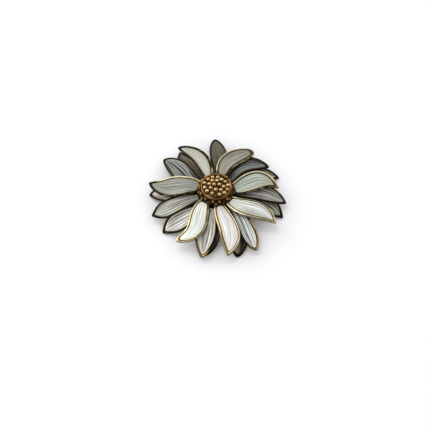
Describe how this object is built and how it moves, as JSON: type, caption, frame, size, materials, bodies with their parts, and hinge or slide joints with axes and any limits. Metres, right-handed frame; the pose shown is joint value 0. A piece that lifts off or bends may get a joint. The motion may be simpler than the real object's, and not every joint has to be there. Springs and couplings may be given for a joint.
{
  "type": "enamelled flower brooch",
  "caption": "Domed flower brooch with stacked tiers of curling enamelled petals in raised rims, a beaded domed centre, and a pin and catch behind.",
  "frame": {"origin": "on the surface that the brooch lies on, below the middle of the flower, which is its stud's axis", "axes": "+Z out of the face of the flower along its stud, +X along the pin stem from the hinge block to the catch, +Y towards the top petal"},
  "size_m": [0.047, 0.0478, 0.0108],
  "materials": {
    "gilt_petals": "antique gilt, worn bright on the rims and dark in the recesses",
    "white_enamel": "pearly white enamel over fine lengthwise engraved lines",
    "grey_enamel": "translucent grey-violet enamel over lengthwise flutes",
    "gilt_centre": "antique gilt, dark between the beads",
    "fittings": "plain satin gilt"
  },
  "bodies": {
    "root": {"upper_petals": "gilt_petals", "middle_petals": "gilt_petals", "lower_petals": "gilt_petals", "upper_enamel_1": "white_enamel", "upper_enamel_2": "white_enamel", "upper_enamel_3": "white_enamel", "upper_enamel_4": "white_enamel", "upper_enamel_5": "white_enamel", "upper_enamel_6": "white_enamel", "upper_enamel_7": "white_enamel", "middle_enamel_1": "grey_enamel", "middle_enamel_2": "grey_enamel", "middle_enamel_3": "grey_enamel", "middle_enamel_4": "grey_enamel", "middle_enamel_5": "grey_enamel", "middle_enamel_6": "grey_enamel", "middle_enamel_7": "grey_enamel", "lower_enamel_1": "grey_enamel", "lower_enamel_2": "grey_enamel", "lower_enamel_3": "grey_enamel", "lower_enamel_4": "grey_enamel", "lower_enamel_5": "grey_enamel", "lower_enamel_6": "grey_enamel", "lower_enamel_7": "grey_enamel", "flower_centre": "gilt_centre", "pin_and_catch": "fittings"}
  },
  "joints": []
}
